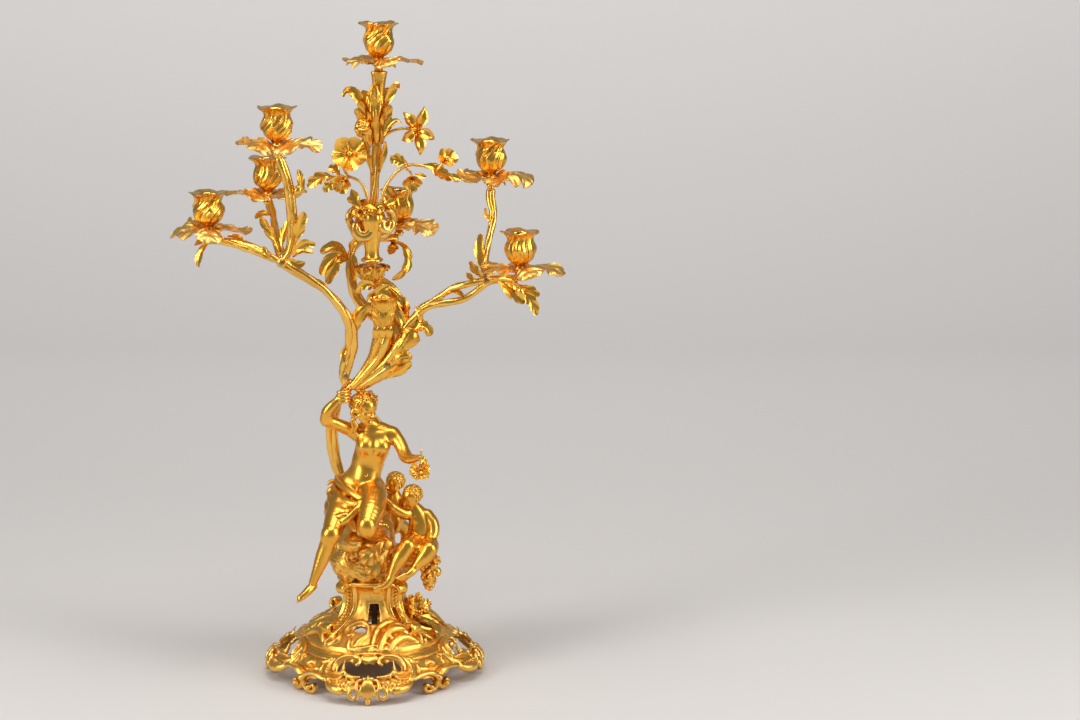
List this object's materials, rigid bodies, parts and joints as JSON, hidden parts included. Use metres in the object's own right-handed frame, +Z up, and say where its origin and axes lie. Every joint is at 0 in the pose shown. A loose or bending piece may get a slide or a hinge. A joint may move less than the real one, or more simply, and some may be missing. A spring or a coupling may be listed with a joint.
{
  "type": "figural candelabrum",
  "caption": "Tall gilt-bronze rococo candelabrum: a seated nymph with putti on a rock holds up branching lights above a pierced scroll foot.",
  "frame": {"origin": "on the table, under the middle of the foot", "axes": "+Z up, -Y towards the front, +X to the viewer's right"},
  "size_m": [0.5233, 0.308, 0.897],
  "materials": {
    "burnished_gilt": "burnished",
    "satin_gilt": "satin",
    "matte_gilt": "matte",
    "dark_steel": "dull"
  },
  "bodies": {
    "stand": {"nymph_body": "burnished_gilt", "nymph_raised_arm": "burnished_gilt", "nymph_extended_arm": "burnished_gilt", "putto_front": "burnished_gilt", "putto_behind": "burnished_gilt", "rock_mound": "matte_gilt", "fruit_cluster": "matte_gilt", "hand_posy": "satin_gilt", "main_trunk": "satin_gilt", "trunk_calyx": "satin_gilt", "left_branch": "satin_gilt", "far_left_arm": "satin_gilt", "left_upper_arm": "satin_gilt", "left_back_arm": "satin_gilt", "back_branch": "satin_gilt", "right_branch": "satin_gilt", "right_upper_arm": "satin_gilt", "vase": "satin_gilt", "vase_stem": "satin_gilt", "left_spray": "satin_gilt", "right_spray": "satin_gilt", "lily_spray": "satin_gilt", "foot_casting": "satin_gilt", "socle_casting": "satin_gilt", "bridge_bar": "dark_steel", "tie_washer": "dark_steel", "tie_nut": "dark_steel", "tie_rod": "dark_steel", "trunk_screw": "dark_steel", "left_branch_screw": "dark_steel", "left_junction_screw": "dark_steel", "right_junction_screw": "dark_steel", "stud_far_left": "dark_steel", "stud_left_upper": "dark_steel", "stud_left_back": "dark_steel", "stud_back": "dark_steel", "stud_right_lower": "dark_steel", "stud_right_upper": "dark_steel", "stud_top": "dark_steel"},
    "pan_far_left": {"drip_pan_far_left": "satin_gilt"},
    "cup_far_left": {"nozzle_far_left": "satin_gilt"},
    "pan_left_upper": {"drip_pan_left_upper": "satin_gilt"},
    "cup_left_upper": {"nozzle_left_upper": "satin_gilt"},
    "pan_left_back": {"drip_pan_left_back": "satin_gilt"},
    "cup_left_back": {"nozzle_left_back": "satin_gilt"},
    "pan_back": {"drip_pan_back": "satin_gilt"},
    "cup_back": {"nozzle_back": "satin_gilt"},
    "pan_right_lower": {"drip_pan_right_lower": "satin_gilt"},
    "cup_right_lower": {"nozzle_right_lower": "satin_gilt"},
    "pan_right_upper": {"drip_pan_right_upper": "satin_gilt"},
    "cup_right_upper": {"nozzle_right_upper": "satin_gilt"},
    "pan_top": {"drip_pan_top": "satin_gilt"},
    "cup_top": {"nozzle_top": "satin_gilt"}
  },
  "joints": [
    {"name": "pan_far_left_lift", "type": "slide", "parent": "stand", "child": "pan_far_left", "axis": [0, 0, 1], "range_m": [0, 0.02]},
    {"name": "cup_far_left_lift", "type": "slide", "parent": "pan_far_left", "child": "cup_far_left", "axis": [0, 0, 1], "range_m": [0, 0.02]},
    {"name": "pan_left_upper_lift", "type": "slide", "parent": "stand", "child": "pan_left_upper", "axis": [0, 0, 1], "range_m": [0, 0.02]},
    {"name": "cup_left_upper_lift", "type": "slide", "parent": "pan_left_upper", "child": "cup_left_upper", "axis": [0, 0, 1], "range_m": [0, 0.02]},
    {"name": "pan_left_back_lift", "type": "slide", "parent": "stand", "child": "pan_left_back", "axis": [0, 0, 1], "range_m": [0, 0.02]},
    {"name": "cup_left_back_lift", "type": "slide", "parent": "pan_left_back", "child": "cup_left_back", "axis": [0, 0, 1], "range_m": [0, 0.02]},
    {"name": "pan_back_lift", "type": "slide", "parent": "stand", "child": "pan_back", "axis": [0, 0, 1], "range_m": [0, 0.02]},
    {"name": "cup_back_lift", "type": "slide", "parent": "pan_back", "child": "cup_back", "axis": [0, 0, 1], "range_m": [0, 0.02]},
    {"name": "pan_right_lower_lift", "type": "slide", "parent": "stand", "child": "pan_right_lower", "axis": [0, 0, 1], "range_m": [0, 0.02]},
    {"name": "cup_right_lower_lift", "type": "slide", "parent": "pan_right_lower", "child": "cup_right_lower", "axis": [0, 0, 1], "range_m": [0, 0.02]},
    {"name": "pan_right_upper_lift", "type": "slide", "parent": "stand", "child": "pan_right_upper", "axis": [0, 0, 1], "range_m": [0, 0.02]},
    {"name": "cup_right_upper_lift", "type": "slide", "parent": "pan_right_upper", "child": "cup_right_upper", "axis": [0, 0, 1], "range_m": [0, 0.02]},
    {"name": "pan_top_lift", "type": "slide", "parent": "stand", "child": "pan_top", "axis": [0, 0, 1], "range_m": [0, 0.02]},
    {"name": "cup_top_lift", "type": "slide", "parent": "pan_top", "child": "cup_top", "axis": [0, 0, 1], "range_m": [0, 0.02]}
  ]
}
